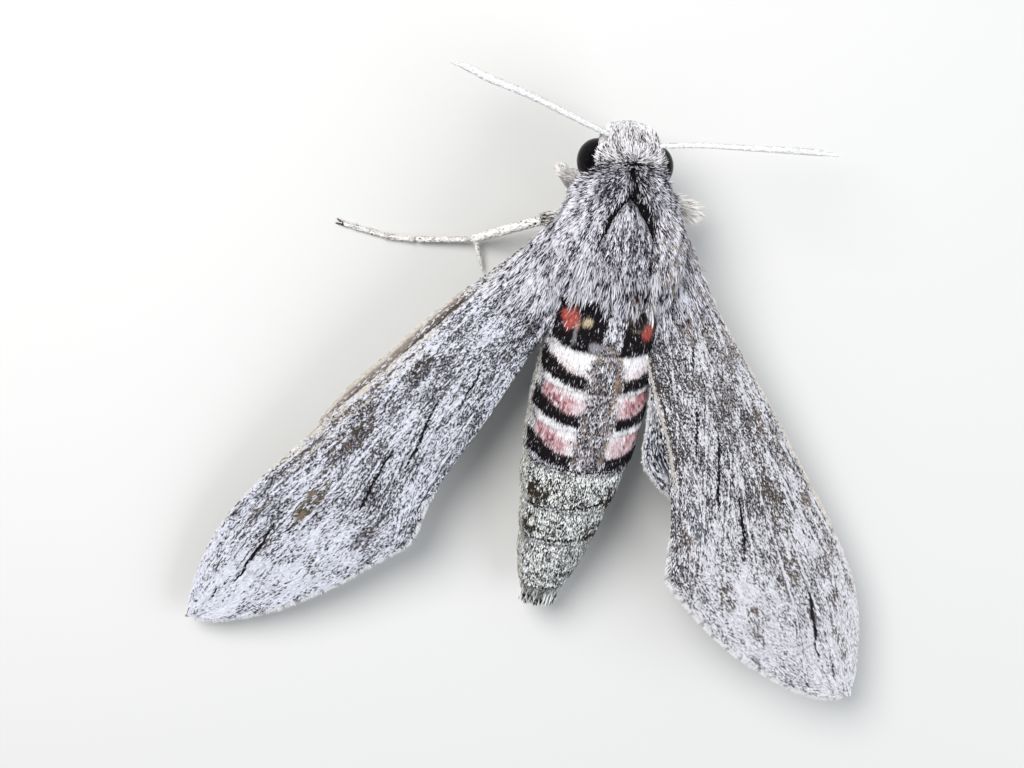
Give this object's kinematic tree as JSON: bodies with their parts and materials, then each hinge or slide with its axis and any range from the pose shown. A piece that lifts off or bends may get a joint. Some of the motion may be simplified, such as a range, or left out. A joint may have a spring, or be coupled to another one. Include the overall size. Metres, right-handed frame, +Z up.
{
  "type": "hawk moth",
  "caption": "Still life-size convolvulus hawk moth at rest on its legs, wings swept back, feelers spread, pink-banded abdomen showing between the wings.",
  "frame": {"origin": "on the floor, under the middle of the moth's outline seen from above", "axes": "+Z up from the floor, head toward -Y, tail toward +Y, the moth's left side toward +X"},
  "size_m": [0.0648, 0.058, 0.0144],
  "materials": {
    "pale_fur": "soft whitish hair scales",
    "grey_fur": "grey hair scales peppered with black",
    "banded_fur": "hair scales in pink, white and black side bands with a grey back stripe",
    "abdomen_fur": "pale grey hair scales with thin dark ring lines",
    "eye": "glossy black faceted eye",
    "feeler": "matte white scaled feeler",
    "forewing": "flat scales, grey and white with dark streaks",
    "hindwing": "flat scales, brown grey with dark bands",
    "dark_leg": "dark brown short hair scales",
    "pale_leg": "whitish short scales",
    "tongue": "smooth brown coiled tongue"
  },
  "bodies": {
    "root": {"abdomen_1": "banded_fur", "abdomen_2": "banded_fur", "abdomen_3": "banded_fur", "abdomen_4": "banded_fur", "abdomen_5": "abdomen_fur", "abdomen_6": "abdomen_fur", "abdomen_7": "abdomen_fur", "antenna_left": "feeler", "antenna_right": "feeler", "collar": "grey_fur", "eye_left": "eye", "eye_right": "eye", "foreleg_left_femur": "dark_leg", "foreleg_left_tarsus": "pale_leg", "foreleg_left_tibia": "pale_leg", "foreleg_right_femur": "dark_leg", "foreleg_right_tarsus": "pale_leg", "foreleg_right_tibia": "pale_leg", "forewing_left": "forewing", "forewing_right": "forewing", "head": "pale_fur", "hindleg_left_femur": "dark_leg", "hindleg_left_tarsus": "pale_leg", "hindleg_left_tibia": "pale_leg", "hindleg_right_femur": "dark_leg", "hindleg_right_tarsus": "pale_leg", "hindleg_right_tibia": "pale_leg", "hindwing_left": "hindwing", "hindwing_right": "hindwing", "midleg_left_femur": "dark_leg", "midleg_left_tarsus": "pale_leg", "midleg_left_tibia": "pale_leg", "midleg_right_femur": "dark_leg", "midleg_right_tarsus": "pale_leg", "midleg_right_tibia": "pale_leg", "palp_left": "pale_fur", "palp_right": "pale_fur", "proboscis": "tongue", "tail_tuft": "pale_fur", "tegula_left": "grey_fur", "tegula_right": "grey_fur", "thorax": "grey_fur"}
  },
  "joints": []
}
